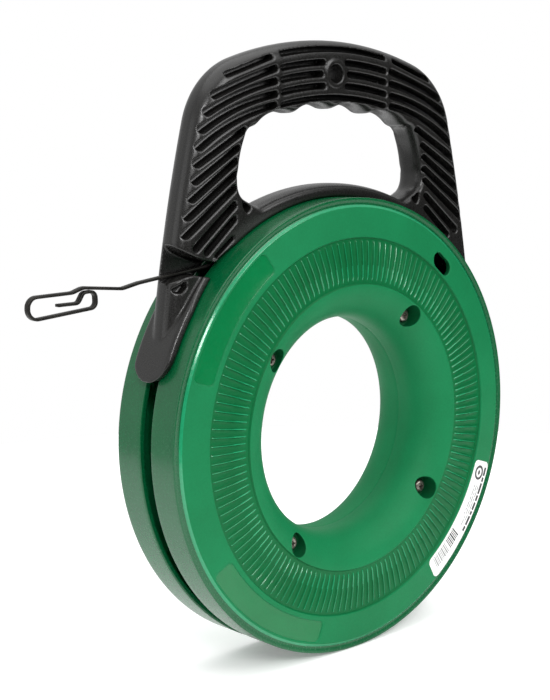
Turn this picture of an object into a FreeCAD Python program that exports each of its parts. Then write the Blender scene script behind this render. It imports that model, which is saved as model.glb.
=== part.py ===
import FreeCAD, Part
import math
import os
import Sketcher

# Fish tape reel, in millimetres. The reel turns about +Y; the front face looks to -Y,
# the handle stands on +Z, and the middle of the reel is the origin.

doc = FreeCAD.newDocument("fish_tape_reel")
V = FreeCAD.Vector

DIMS = {
    # reel case
    "caseRad": 125.0, "hubRad": 59.5, "hubFlat": 5.8, "flareRad": 21.0, "wallThk": 2.6,
    "rimHalf": 23.0, "rimEdge": 0.6, "slotHalf": 4.4, "bandOuter": 104.0, "bandInner": 78.4,
    "bandOuterOut": 25.6, "bandInnerOut": 26.7, "bandDepth": 1.9, "drumRad": 79.4, "drumThk": 1.9,
    "ringEdge": 120.2, "ringEdgeOut": 23.5, "grooveRad": 121.8, "grooveOut": 22.3,
    "ribCount": 140.0, "ribThk": 1.5, "windowRad": 109.5, "windowAngle": 51.0,
    "windowWide": 9.0, "windowLong": 16.0, "panelDepth": 0.6,
    "panelInner": 106.6, "panelOuter": 118.8, "ribInner": 80.8, "ribOuter": 101.6,
    # case screws and nuts
    "screwCircle": 72.0, "screwAngle": 53.0, "bossDia": 16.4, "pocketDia": 12.4,
    "pocketFloor": 17.3, "screwDia": 4.0, "screwHole": 4.4, "headDia": 7.2, "headTall": 2.7,
    "nutAcross": 7.0, "nutTall": 3.2,
    # handle
    "gripOuter": 208.3, "handleThk": 19.0, "crownRad": 8.5, "cornerArc": 45.0,
    "saddleRad": 125.4, "saddleTop": 132.4, "shoeOuter": 129.3, "shoeHalf": 14.0,
    "slotWide": 4.4, "slotDepth": 7.4, "tetherDia": 10.0, "tetherRad": 190.5,
    "footWeb": 3.9, "footFlange": 11.0, "footTop": 122.0, "footLow": 118.8, "notchDepth": 12.6,
    # tape
    "tapeWide": 3.2, "tapeThk": 1.5, "coilInner": 81.0, "coilOuter": 101.3, "exitSlope": 7.1,
    # label
    "labelThk": 0.25,
}

sheet = doc.addObject("Spreadsheet::Sheet", "Dims")
for row, (name, value) in enumerate(DIMS.items(), start=1):
    sheet.set("A%d" % row, name)
    sheet.set("B%d" % row, str(value))
    sheet.setAlias("B%d" % row, name)
doc.recompute()
D = dict(DIMS)


def rad(a):
    return math.radians(a)


def polar(r, a):
    return V(r * math.cos(rad(a)), r * math.sin(rad(a)), 0)


def new_body(name):
    body = doc.addObject("PartDesign::Body", name)
    body.Label = name
    return body


def origin_plane(body, role):
    for item in body.Origin.OriginFeatures:
        if item.Role == role:
            return item
    raise ValueError(role)


def sketch_on(body, role, name, offset=0.0, turn_y=None):
    """Sketch on an origin plane of the body, moved along its normal or swung about Y."""
    sk = body.newObject("Sketcher::SketchObject", name)
    sk.AttachmentSupport = [(origin_plane(body, role), "")]
    sk.MapMode = "FlatFace"
    if turn_y is not None:
        sk.AttachmentOffset = FreeCAD.Placement(V(0, 0, 0), FreeCAD.Rotation(V(0, 1, 0), -turn_y))
    else:
        sk.AttachmentOffset = FreeCAD.Placement(V(0, 0, offset), FreeCAD.Rotation())
    return sk


def draw(sk, path):
    """Closed loop from ("line", p, q) and ("arc", p, mid, q) steps given as 2-D pairs."""
    for step in path:
        pts = [V(p[0], p[1], 0) for p in step[1:]]
        if step[0] == "line":
            sk.addGeometry(Part.LineSegment(*pts), False)
        else:
            sk.addGeometry(Part.Arc(*pts), False)


def polygon(sk, pts):
    draw(sk, [("line", pts[i], pts[(i + 1) % len(pts)]) for i in range(len(pts))])


def circle(sk, centre, r):
    sk.addGeometry(Part.Circle(V(centre[0], centre[1], 0), V(0, 0, 1), r), False)


def taper_slot(sk, p, q, wide_p, wide_q):
    """Round-ended slot whose width changes from one centre point to the other."""
    length = math.hypot(q[0] - p[0], q[1] - p[1])
    ux, uy = (q[0] - p[0]) / length, (q[1] - p[1]) / length
    h, g = wide_p / 2, wide_q / 2
    a, b = (p[0] - uy * h, p[1] + ux * h), (q[0] - uy * g, q[1] + ux * g)
    c, d = (q[0] + uy * g, q[1] - ux * g), (p[0] + uy * h, p[1] - ux * h)
    draw(sk, [("line", a, b), ("arc", b, (q[0] + ux * g, q[1] + uy * g), c),
              ("line", c, d), ("arc", d, (p[0] - ux * h, p[1] - uy * h), a)])


def arc_slot(sk, r, start, end, wide):
    """Round-ended slot following a circle about the origin."""
    h = wide / 2
    mid = (start + end) / 2
    tip = math.degrees(h / r)
    P = lambda rr, aa: tuple(polar(rr, aa))[:2]
    draw(sk, [("arc", P(r + h, start), P(r + h, mid), P(r + h, end)),
              ("arc", P(r + h, end), P(r, end + tip), P(r - h, end)),
              ("arc", P(r - h, end), P(r - h, mid), P(r - h, start)),
              ("arc", P(r - h, start), P(r, start - tip), P(r + h, start))])


def pad(body, sk, name, length, midplane=False, reverse=False, expr=None):
    f = body.newObject("PartDesign::Pad", name)
    f.Profile = sk
    f.Length = length
    f.Midplane = midplane
    f.Reversed = reverse
    if expr:
        f.setExpression("Length", expr)
    return f


def pocket(body, sk, name, length=None, midplane=False, reverse=False, expr=None):
    f = body.newObject("PartDesign::Pocket", name)
    f.Profile = sk
    if length is None:
        f.Type = "ThroughAll"
    else:
        f.Length = length
    f.Midplane = midplane
    f.Reversed = reverse
    if expr:
        f.setExpression("Length", expr)
    return f


def turned(body, sk, name, angle=360.0, cut=False):
    """Revolve a sketch about its own vertical axis, which is the reel axis."""
    f = body.newObject("PartDesign::Groove" if cut else "PartDesign::Revolution", name)
    f.Profile = sk
    f.ReferenceAxis = (sk, ["V_Axis"])
    f.Angle = angle
    f.Midplane = angle < 360.0
    return f


# ---------------------------------------------------------------- reel case halves

def face_out(r):
    """Height of the domed outer face at radius r, measured from the parting plane."""
    r0, r1, r2 = D["bandInner"], D["bandOuter"], D["ringEdge"]
    s0, s1, s2 = D["bandInnerOut"], D["bandOuterOut"], D["ringEdgeOut"]
    if r <= r1:
        return s0 + (s1 - s0) * (r - r0) / (r1 - r0)
    return s1 + (s2 - s1) * (r - r1) / (r2 - r1)


def case_half(name, side):
    """side -1 is the front half, +1 the rear half."""
    body = new_body(name)
    R, hub, flat, fl, t = (D[k] for k in ("caseRad", "hubRad", "hubFlat", "flareRad", "wallThk"))
    c = D["rimEdge"]
    cx = hub + fl
    q = math.sqrt(0.5)
    # the flare stops at the edge of the ribbed band, just short of its crest
    end = D["bandInner"]
    lift = lambda r: flat + math.sqrt(fl ** 2 - (cx - r) ** 2)
    y = lambda s: side * s
    P = lambda r, s: (r, y(s))
    inner_out = D["bandInnerOut"] - D["bandDepth"] - t
    band_out = D["bandOuterOut"] - D["bandDepth"]
    drum, dthk = D["drumRad"], D["drumThk"]

    sk = sketch_on(body, "XY_Plane", name + "_profile")
    draw(sk, [
        ("line", P(hub, 0.0), P(hub, flat)),
        ("arc", P(hub, flat), P(cx - fl * q, flat + fl * q), P(end, lift(end))),
        ("line", P(end, lift(end)), P(end + 0.9, lift(end) - D["bandDepth"])),
        ("line", P(end + 0.9, lift(end) - D["bandDepth"]), P(D["bandOuter"] - 0.9, band_out)),
        ("line", P(D["bandOuter"] - 0.9, band_out), P(D["bandOuter"], D["bandOuterOut"])),
        ("line", P(D["bandOuter"], D["bandOuterOut"]), P(D["ringEdge"], D["ringEdgeOut"])),
        ("line", P(D["ringEdge"], D["ringEdgeOut"]), P(D["grooveRad"], D["grooveOut"])),
        ("line", P(D["grooveRad"], D["grooveOut"]), P(R - c, D["rimHalf"])),
        ("line", P(R - c, D["rimHalf"]), P(R, D["rimHalf"] - c)),
        ("line", P(R, D["rimHalf"] - c), P(R, D["slotHalf"] + 0.6)),
        ("line", P(R, D["slotHalf"] + 0.6), P(R - 0.6, D["slotHalf"])),
        ("line", P(R - 0.6, D["slotHalf"]), P(R - t, D["slotHalf"])),
        ("line", P(R - t, D["slotHalf"]), P(R - t, D["rimHalf"] - t - 1.6)),
        ("line", P(R - t, D["rimHalf"] - t - 1.6), P(R - t - 1.6, D["grooveOut"] - t)),
        ("line", P(R - t - 1.6, D["grooveOut"] - t), P(D["bandOuter"] + 2.0, band_out - t)),
        ("line", P(D["bandOuter"] + 2.0, band_out - t), P(drum, inner_out)),
        ("line", P(drum, inner_out), P(drum, 0.1)),
        ("line", P(drum, 0.1), P(drum - dthk, 0.1)),
        ("line", P(drum - dthk, 0.1), P(drum - dthk, inner_out)),
        ("arc", P(drum - dthk, inner_out), P(cx - (fl - t) * q, flat + (fl - t) * q),
         P(hub + t, flat)),
        ("line", P(hub + t, flat), P(hub + t, 0.0)),
        ("line", P(hub + t, 0.0), P(hub, 0.0)),
    ])
    turned(body, sk, name + "_shell")
    doc.recompute()

    spots = [tuple(polar(D["screwCircle"], D["screwAngle"] + 90 * k))[:2] for k in range(4)]
    reach = D["pocketFloor"] + 2.0

    # XZ sketches have their normal along -Y
    bosses = sketch_on(body, "XZ_Plane", name + "_boss_plan", 0.1 * -side)
    for p in spots:
        circle(bosses, p, D["bossDia"] / 2)
    pad(body, bosses, name + "_bosses", reach - 0.1, reverse=(side > 0))

    top = flat + fl + 1.0
    trim = sketch_on(body, "XY_Plane", name + "_trim_profile")
    draw(trim, [
        ("line", P(hub - 12, 0), P(hub, 0)),
        ("line", P(hub, 0), P(hub, flat)),
        ("arc", P(hub, flat), P(cx - fl * q, flat + fl * q), P(cx, flat + fl)),
        ("line", P(cx, flat + fl), P(cx, top)),
        ("line", P(cx, top), P(hub - 12, top)),
        ("line", P(hub - 12, top), P(hub - 12, 0)),
    ])
    turned(body, trim, name + "_flare_trim", cut=True)

    wells = sketch_on(body, "XZ_Plane", name + "_well_plan", -side * D["pocketFloor"])
    for p in spots:
        circle(wells, p, D["pocketDia"] / 2)
    pocket(body, wells, name + "_wells", 30.0, reverse=(side < 0))

    holes = sketch_on(body, "XZ_Plane", name + "_hole_plan")
    for p in spots:
        circle(holes, p, D["screwHole"] / 2)
    pocket(body, holes, name + "_holes", 80.0, midplane=True)

    # oblong window through the outer ring
    if side < 0:
        win = sketch_on(body, "XZ_Plane", name + "_window_plan", 15.0)
        half = math.degrees((D["windowLong"] - D["windowWide"]) / 2 / D["windowRad"])
        arc_slot(win, D["windowRad"], D["windowAngle"] - half, D["windowAngle"] + half,
                 D["windowWide"])
        pocket(body, win, name + "_window", 30.0, reverse=True)

    # two shallow blank name panels sunk in the outer ring
    for tag, middle, span in (("a", 142.0, 38.0), ("b", 234.0, 44.0)):
        turn = middle if side < 0 else 180.0 - middle
        psk = sketch_on(body, "XY_Plane", name + "_panel_profile_" + tag, turn_y=turn)
        lo, hi, dep = D["panelInner"], D["panelOuter"], D["panelDepth"]
        polygon(psk, [P(lo, face_out(lo) - dep), P(hi, face_out(hi) - dep),
                      P(hi, face_out(hi) + 2), P(lo, face_out(lo) + 2)])
        turned(body, psk, name + "_panel_" + tag, angle=span, cut=True)

    # radial grip ribs standing in the recessed band
    rib = sketch_on(body, "XZ_Plane", name + "_rib_plan", -side * (inner_out + t - 0.8))
    hw = D["ribThk"] / 2
    polygon(rib, [(D["ribInner"], -hw), (D["ribOuter"], -hw), (D["ribOuter"], hw), (D["ribInner"], hw)])
    one = pad(body, rib, name + "_rib", 1.6, reverse=(side > 0))
    doc.recompute()
    ring = body.newObject("PartDesign::PolarPattern", name + "_ribs")
    ring.Originals = [one]
    ring.Axis = (rib, ["N_Axis"])
    ring.Angle = 360.0
    ring.Occurrences = int(D["ribCount"])
    body.Tip = ring
    doc.recompute()
    return body


front_half = case_half("front_case_half", -1)
rear_half = case_half("rear_case_half", +1)


# ---------------------------------------------------------------- screws and nuts

def case_screw(name, angle):
    body = new_body(name)
    floor = D["pocketFloor"]
    hr, ht, sr = D["headDia"] / 2, D["headTall"], D["screwDia"] / 2
    tip = floor + D["nutTall"] + 1.6
    sk = sketch_on(body, "XY_Plane", name + "_profile")
    draw(sk, [
        ("line", (0, -floor - ht), (hr - 1.6, -floor - ht)),
        ("arc", (hr - 1.6, -floor - ht), (hr - 0.42, -floor - ht + 0.5), (hr, -floor - ht + 1.6)),
        ("line", (hr, -floor - ht + 1.6), (hr, -floor)),
        ("line", (hr, -floor), (sr, -floor)),
        ("line", (sr, -floor), (sr, tip - 0.7)),
        ("line", (sr, tip - 0.7), (sr - 0.7, tip)),
        ("line", (sr - 0.7, tip), (0, tip)),
        ("line", (0, tip), (0, -floor - ht)),
    ])
    turned(body, sk, name + "_blank")
    cross = sketch_on(body, "XZ_Plane", name + "_drive_plan", floor + ht)
    a, b = 1.8, 0.5
    polygon(cross, [(-a, -b), (-b, -b), (-b, -a), (b, -a), (b, -b), (a, -b),
                    (a, b), (b, b), (b, a), (-b, a), (-b, b), (-a, b)])
    pocket(body, cross, name + "_drive", 1.5)
    at = polar(D["screwCircle"], angle)
    body.Placement = FreeCAD.Placement(V(at.x, 0, at.y), FreeCAD.Rotation())
    return body


def case_nut(name, angle):
    body = new_body(name)
    sk = sketch_on(body, "XZ_Plane", name + "_hexagon", -D["pocketFloor"])
    corner = D["nutAcross"] / 2 / math.cos(rad(30))
    polygon(sk, [tuple(polar(corner, 60 * k))[:2] for k in range(6)])
    circle(sk, (0, 0), D["screwDia"] / 2 + 0.05)
    pad(body, sk, name + "_blank", D["nutTall"], reverse=True, expr="Dims.nutTall")
    at = polar(D["screwCircle"], angle)
    body.Placement = FreeCAD.Placement(V(at.x, 0, at.y), FreeCAD.Rotation())
    return body


fasteners = []
for k in range(4):
    place = D["screwAngle"] + 90 * k
    fasteners.append(case_screw("case_screw_%d" % (k + 1), place))
    fasteners.append(case_nut("case_nut_%d" % (k + 1), place))
doc.recompute()


# ---------------------------------------------------------------- handle

def crown_points():
    """Corner arc and leg arc of the outer outline, tangent to each other and to the grip."""
    top, corner, leg = D["gripOuter"], D["cornerArc"], 900.0
    cz = 155.0
    cx = math.sqrt((top - corner) ** 2 - cz ** 2)
    ang_top = math.degrees(math.atan2(cz, cx))
    slope, foot = 14.5, 7.3
    at = lambda ox, oz, r, a: (ox + r * math.cos(rad(a)), oz + r * math.sin(rad(a)))
    dx, dz = at(cx, cz, -(leg - corner), slope)
    return {
        "a": at(0, 0, top, ang_top), "ab": at(cx, cz, corner, (ang_top + slope) / 2),
        "b": at(cx, cz, corner, slope), "bc": at(dx, dz, leg, (slope + foot) / 2),
        "c": at(dx, dz, leg, foot),
    }


def crown_x(z):
    """Half width of the handle outline at height z on the legs and corners."""
    k = crown_points()
    if z >= k["b"][1]:
        cz = 155.0
        cx = math.sqrt((D["gripOuter"] - D["cornerArc"]) ** 2 - cz ** 2)
        return cx + math.sqrt(D["cornerArc"] ** 2 - (z - cz) ** 2)
    t = (k["b"][1] - z) / (k["b"][1] - k["c"][1])
    bow = 4 * 1.6 * t * (1 - t)
    return k["b"][0] + (k["c"][0] - k["b"][0]) * t + bow


handle = new_body("handle")
K = crown_points()
mir = lambda p: (-p[0], p[1])
sad = D["saddleRad"]
foot_in = tuple(polar(sad, 26.0))[:2]

outline = sketch_on(handle, "XZ_Plane", "handle_outline")
draw(outline, [
    ("arc", mir(K["a"]), (0, D["gripOuter"]), K["a"]),
    ("arc", K["a"], K["ab"], K["b"]),
    ("arc", K["b"], K["bc"], K["c"]),
    ("line", K["c"], foot_in),
    ("arc", foot_in, (0, sad), mir(foot_in)),
    ("line", mir(foot_in), mir(K["c"])),
    ("arc", mir(K["c"]), mir(K["bc"]), mir(K["b"])),
    ("arc", mir(K["b"]), mir(K["ab"]), mir(K["a"])),
])
# hand opening with four finger grooves under the grip
ridge, groove, step = 171.6, 175.0, 9.35
P2 = lambda r, a: tuple(polar(r, a))[:2]
hand = []
ends = [90 - 2 * step, 90 - step, 90.0, 90 + step, 90 + 2 * step]
for lo, hi in zip(ends[:-1], ends[1:]):
    hand.append(("arc", P2(ridge, lo), P2(groove, (lo + hi) / 2), P2(ridge, hi)))
right = [P2(ridge, ends[0]), (62.3, 157.0), (66.8, 141.0), (67.4, 132.5), (63.6, 126.4), (54.0, 121.9)]
left = [mir(p) for p in right]
low = D["saddleTop"]
hand.append(("arc", left[0], (-59.9, 161.0), left[1]))
hand.append(("arc", left[1], (-65.1, 149.5), left[2]))
hand.append(("arc", left[2], (-67.6, 136.8), left[3]))
hand.append(("arc", left[3], (-66.2, 129.0), left[4]))
hand.append(("line", left[4], left[5]))
hand.append(("arc", left[5], (0, low), right[5]))
hand.append(("line", right[5], right[4]))
hand.append(("arc", right[4], (66.2, 129.0), right[3]))
hand.append(("arc", right[3], (67.6, 136.8), right[2]))
hand.append(("arc", right[2], (65.1, 149.5), right[1]))
hand.append(("arc", right[1], (59.9, 161.0), right[0]))
draw(outline, hand)
slab = pad(handle, outline, "handle_slab", D["handleThk"], midplane=True, expr="Dims.handleThk")
doc.recompute()


def face_edges(shape, half, test):
    """Names of the edges lying flat on either broad face whose middle passes the test."""
    names = []
    for i, e in enumerate(shape.Edges, start=1):
        p = e.valueAt((e.FirstParameter + e.LastParameter) / 2)
        ends_ok = all(abs(abs(v.Point.y) - half) < 1e-4 for v in e.Vertexes)
        if ends_ok and abs(abs(p.y) - half) < 1e-4 and test(p):
            names.append("Edge%d" % i)
    return names


def on_crown(p):
    r = math.hypot(p.x, p.z)
    return r > 205.0 or (abs(p.x) > 70.0 and r > 127.0 and abs(p.x) > crown_x(p.z) - 1.5)


crown = handle.newObject("PartDesign::Fillet", "handle_crown_round")
crown.Base = (slab, face_edges(slab.Shape, D["handleThk"] / 2, on_crown))
crown.Radius = D["crownRad"]
crown.setExpression("Radius", "Dims.crownRad")
doc.recompute()

# shoes that lie on the rim below each leg, ending in a round tongue
for tag, middle in (("left", 148.0), ("right", 32.0)):
    shoe = sketch_on(handle, "XY_Plane", "handle_shoe_profile_" + tag, turn_y=middle)
    h, lo, hi = D["shoeHalf"], D["saddleRad"], D["shoeOuter"]
    draw(shoe, [("line", (lo, -h), (hi - 2.2, -h)),
                ("arc", (hi - 2.2, -h), (hi - 0.7, -h + 0.8), (hi, -h + 2.6)),
                ("line", (hi, -h + 2.6), (hi, h - 2.6)),
                ("arc", (hi, h - 2.6), (hi - 0.7, h - 0.8), (hi - 2.2, h)),
                ("line", (hi - 2.2, h), (lo, h)), ("line", (lo, h), (lo, -h))])
    turned(handle, shoe, "handle_shoe_" + tag, angle=34.0)
tongue = sketch_on(handle, "YZ_Plane", "handle_tongue_plan")
h = D["shoeHalf"]
zc, ztop = 50.8, 92.5
draw(tongue, [("line", (-h - 4, 101), (-h - 4, 26)), ("line", (-h - 4, 26), (h + 4, 26)),
              ("line", (h + 4, 26), (h + 4, 101)), ("line", (h + 4, 101), (10.8, 101)),
              ("line", (10.8, 101), (10.8, ztop)), ("line", (10.8, ztop), (h, 72)),
              ("line", (h, 72), (h, zc)), ("arc", (h, zc), (0, zc - h), (-h, zc)),
              ("line", (-h, zc), (-h, 72)), ("line", (-h, 72), (-10.8, ztop)),
              ("line", (-10.8, ztop), (-10.8, 101)), ("line", (-10.8, 101), (-h - 4, 101))])
pocket(handle, tongue, "handle_tongue_trim", 400.0, midplane=True)

# foot that runs captive behind the lips of the rim slot
for tag, start, end in (("mid", 44.0, 121.0), ("left", 139.0, 158.0), ("right", 22.0, 41.0)):
    foot = sketch_on(handle, "XY_Plane", "handle_foot_profile_" + tag, turn_y=(start + end) / 2)
    w, f, top, base = D["footWeb"], D["footFlange"], D["footTop"], D["footLow"]
    up = D["saddleRad"] + 0.8
    polygon(foot, [(up, -w), (up, w), (top, w), (top, f), (base, f), (base, -f), (top, -f), (top, -w)])
    turned(handle, foot, "handle_foot_" + tag, angle=end - start)
doc.recompute()


def bow_slot(sk, p, q, rise, wide_p, wide_q):
    """Round-ended slot along a shallow arc that rises above its chord."""
    length = math.hypot(q[0] - p[0], q[1] - p[1])
    ux, uy = (q[0] - p[0]) / length, (q[1] - p[1]) / length
    nx, ny = (-uy, ux) if ux > 0 else (uy, -ux)
    tilt = math.atan2(4 * rise, length)
    mx, my = (p[0] + q[0]) / 2 + nx * rise, (p[1] + q[1]) / 2 + ny * rise
    h, g, m = wide_p / 2, wide_q / 2, (wide_p + wide_q) / 4
    # directions across the slot at its two ends, square to the arc
    c, d = math.cos(tilt), math.sin(tilt)
    pn = (nx * c - ux * d, ny * c - uy * d)
    qn = (nx * c + ux * d, ny * c + uy * d)
    pt, qt = (ux * c + nx * d, uy * c + ny * d), (ux * c - nx * d, uy * c - ny * d)
    mid, mn = (mx, my), (nx, ny)

    def off(start, way, dist):
        return (start[0] + way[0] * dist, start[1] + way[1] * dist)

    draw(sk, [("arc", off(p, pn, h), off(mid, mn, m), off(q, qn, g)),
              ("arc", off(q, qn, g), off(q, qt, g), off(q, qn, -g)),
              ("arc", off(q, qn, -g), off(mid, mn, -m), off(p, pn, -h)),
              ("arc", off(p, pn, -h), off(p, pt, -h), off(p, pn, h))])


def leg_slots(sk, sign):
    """Diagonal cored slots of one leg: the upper ones bow round into the grip."""
    at = lambda x, z: (sign * x, z)
    wide = D["slotWide"]
    # outer end, inner end and rise of the slots that run on towards the grip
    bowed = [(83.2, 178.4, 43.0, 192.3, 0.5), (88.0, 169.9, 43.0, 185.8, 1.7),
             (91.2, 161.4, 43.0, 179.2, 2.5), (93.2, 152.9, 43.4, 173.6, 3.0)]
    for x0, z0, x1, z1, rise in bowed:
        bow_slot(sk, at(x0, z0), at(x1, z1), rise, wide, 3.6)
    # outer end and inner end of the straight slots beside the hand opening
    straight = [(94.9, 144.6, 64.6, 160.9), (96.4, 136.2, 68.9, 152.0), (98.6, 127.4, 70.3, 145.4),
                (101.2, 118.6, 70.9, 138.6), (102.9, 109.6, 71.4, 132.0), (97.3, 102.8, 71.9, 123.3)]
    for x0, z0, x1, z1 in straight:
        taper_slot(sk, at(x0, z0), at(x1, z1), wide, 3.4)
    taper_slot(sk, at(90.6, 100.2), at(71.9, 116.2), 3.6, 3.2)
    taper_slot(sk, at(84.6, 97.9), at(73.4, 106.6), 2.0, 1.8)
    # slot on the shoulder and the small pocket in the corner below the opening
    taper_slot(sk, at(74.5, 188.6), at(45.5, 198.0), 3.2, 2.8)
    polygon(sk, [at(66.6, 125.6), at(63.4, 123.8), at(60.4, 122.2), at(62.0, 119.9),
                 at(63.6, 118.9), at(65.2, 120.1), at(66.3, 122.6)])


def grip_slots(sk):
    """Rows of cored slots in the grip, split by the tether boss and closed by two webs."""
    web = 40.0
    for r, wide in ((203.3, 3.0), (177.9, 2.8)):
        span = math.degrees(math.asin((web - 2.0) / r))
        arc_slot(sk, r, 90 - span, 90 + span, wide)
    for r, wide, near in ((196.4, 3.2, 8.6), (190.5, 3.4, 10.4), (184.2, 3.2, 8.6)):
        far = math.degrees(math.asin((web - 2.0) / r))
        close = math.degrees(math.asin(near / r))
        arc_slot(sk, r, 90 - far, 90 - close, wide)
        arc_slot(sk, r, 90 + close, 90 + far, wide)


for tag, off, rev in (("front", D["handleThk"] / 2, False), ("rear", -D["handleThk"] / 2, True)):
    cores = sketch_on(handle, "XZ_Plane", "handle_core_plan_" + tag, off)
    for sign in (-1, 1):
        leg_slots(cores, sign)
    grip_slots(cores)
    pocket(handle, cores, "handle_cores_" + tag, D["slotDepth"], reverse=rev, expr="Dims.slotDepth")
doc.recompute()

# tether hole with a raised rim on both faces
boss = sketch_on(handle, "XZ_Plane", "handle_tether_boss_plan")
circle(boss, (0, D["tetherRad"]), 7.4)
pad(handle, boss, "handle_tether_boss", D["handleThk"] + 1.2, midplane=True, expr="Dims.handleThk + 1.2")
eye = sketch_on(handle, "XZ_Plane", "handle_tether_plan")
circle(eye, (0, D["tetherRad"]), D["tetherDia"] / 2)
pocket(handle, eye, "handle_tether_hole", 80.0, midplane=True)

# tape exit: a flared notch open to the front through the left leg
exit_plan = sketch_on(handle, "XZ_Plane", "handle_exit_plan", D["handleThk"] / 2 + 6.0)
draw(exit_plan, [
    ("line", (-70.0, 91.0), (-85.0, 84.5)), ("line", (-85.0, 84.5), (-88.6, 87.6)),
    ("line", (-88.6, 87.6), (-94.0, 88.5)), ("arc", (-94.0, 88.5), (-100.0, 89.3), (-105.6, 88.3)),
    ("line", (-105.6, 88.3), (-112.0, 85.4)), ("line", (-112.0, 85.4), (-128.0, 74.0)),
    ("line", (-128.0, 74.0), (-128.0, 118.0)), ("line", (-128.0, 118.0), (-111.2, 111.2)),
    ("arc", (-111.2, 111.2), (-108.9, 105.6), (-104.7, 101.6)),
    ("arc", (-104.7, 101.6), (-96.6, 97.7), (-86.0, 95.2)),
    ("line", (-86.0, 95.2), (-72.0, 103.0)), ("line", (-72.0, 103.0), (-70.0, 91.0)),
])
pocket(handle, exit_plan, "handle_tape_exit", D["notchDepth"] + 6.0, expr="Dims.notchDepth + 6")
# small cored pocket in the front facet of the left leg below the exit
core = sketch_on(handle, "XZ_Plane", "handle_facet_plan", D["handleThk"] / 2 + 1.0)
polygon(core, [(-103.2, 86.2), (-105.0, 86.4), (-110.8, 82.9), (-110.2, 81.3),
               (-106.8, 80.8), (-103.8, 83.4)])
pocket(handle, core, "handle_facet_pocket", 6.0)
doc.recompute()


# ---------------------------------------------------------------- tape

coil = new_body("tape_coil")
turns = sketch_on(coil, "XY_Plane", "tape_coil_profile")
layers = int((D["coilOuter"] - D["coilInner"]) / D["tapeThk"])
pitch = (D["coilOuter"] - D["coilInner"]) / layers
half = 1.5 * D["tapeWide"]
edge_up, edge_down = [], []
for k in range(layers):
    r0 = D["coilInner"] + pitch * k
    shift = 0.45 if k % 2 else -0.15
    for r in (r0, r0 + pitch):
        edge_up.append((r, half + shift))
        edge_down.append((r, -half + shift))
polygon(turns, edge_down + list(reversed(edge_up)))
turned(coil, turns, "tape_coil_turns")
doc.recompute()


def rounded_path(points, radii):
    """Lines and tangent arcs through the given corner points."""
    steps, last = [], points[0]
    for i in range(1, len(points) - 1):
        p, q, r = (V(*points[j], 0) for j in (i - 1, i, i + 1))
        a, b = (p - q).normalize(), (r - q).normalize()
        half_angle = a.getAngle(b) / 2
        cut = radii[i - 1] / math.tan(half_angle)
        s, e = q + a * cut, q + b * cut
        centre = q + (a + b).normalize() * (radii[i - 1] / math.sin(half_angle))
        mid = centre + (q - centre).normalize() * radii[i - 1]
        steps.append(("line", last, (s.x, s.y)))
        steps.append(("arc", (s.x, s.y), (mid.x, mid.y), (e.x, e.y)))
        last = (e.x, e.y)
    steps.append(("line", last, points[-1]))
    return steps


leader = new_body("tape_leader")
lean = rad(D["exitSlope"])
reach = D["coilOuter"] + 0.05 + D["tapeThk"] / 2
start = (-reach * math.sin(lean), reach * math.cos(lean))
along = lambda length: (start[0] - length * math.cos(lean), start[1] - length * math.sin(lean))
course = [start, along(115.5), (-137.0, 85.0), (-160.0, 87.2), (-166.0, 85.2), (-190.6, 84.6),
          (-190.6, 73.8), (-152.6, 77.2), (-152.9, 85.2), (-159.8, 84.9), (-162.9, 80.0), (-174.5, 79.9)]
bends = [6.0, 8.0, 8.0, 8.0, 4.9, 4.9, 3.2, 3.0, 2.6, 2.6]
spine = sketch_on(leader, "XZ_Plane", "tape_leader_path")
draw(spine, rounded_path(course, bends))
# rectangular strip standing square to the first straight stretch
strip = leader.newObject("Sketcher::SketchObject", "tape_leader_section")
strip.AttachmentSupport = [(origin_plane(leader, "YZ_Plane"), "")]
strip.MapMode = "FlatFace"
strip.AttachmentOffset = FreeCAD.Placement(V(0, start[1], start[0]),
                                           FreeCAD.Rotation(V(1, 0, 0), math.degrees(-lean)))
w, k = D["tapeWide"] / 2, D["tapeThk"] / 2
polygon(strip, [(-w, -k), (w, -k), (w, k), (-w, k)])
sweep = leader.newObject("PartDesign::AdditivePipe", "tape_leader_strip")
sweep.Profile = strip
sweep.Spine = spine
sweep.Mode = "Standard"
doc.recompute()


# ---------------------------------------------------------------- label

label = new_body("case_label")
lab = sketch_on(label, "XY_Plane", "case_label_profile", turn_y=-37.4)
lo, hi = 105.2, 119.6
polygon(lab, [(lo, -face_out(lo)), (hi, -face_out(hi)),
              (hi, -face_out(hi) - D["labelThk"]), (lo, -face_out(lo) - D["labelThk"])])
turned(label, lab, "case_label_sheet", angle=38.0)
doc.recompute()


# ---------------------------------------------------------------- checks and export

parts = [handle, front_half, rear_half] + fasteners + [coil, leader, label]
for obj in doc.Objects:
    if "Invalid" in obj.State or "Error" in obj.State:
        raise RuntimeError("object not computed: " + obj.Name)
for obj in parts:
    if obj.Shape.isNull() or not obj.Shape.isValid():
        raise RuntimeError("bad shape: " + obj.Label)
    if len(obj.Shape.Solids) != 1:
        raise RuntimeError("not one solid: %s %d" % (obj.Label, len(obj.Shape.Solids)))
    print(obj.Label, round(obj.Shape.Volume), obj.Shape.BoundBox)

os.makedirs("parts", exist_ok=True)
for obj in parts:
    obj.Shape.exportStep("parts/%s.step" % obj.Label)
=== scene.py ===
import bmesh
import bpy
import math
from mathutils import Matrix, Vector


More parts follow.
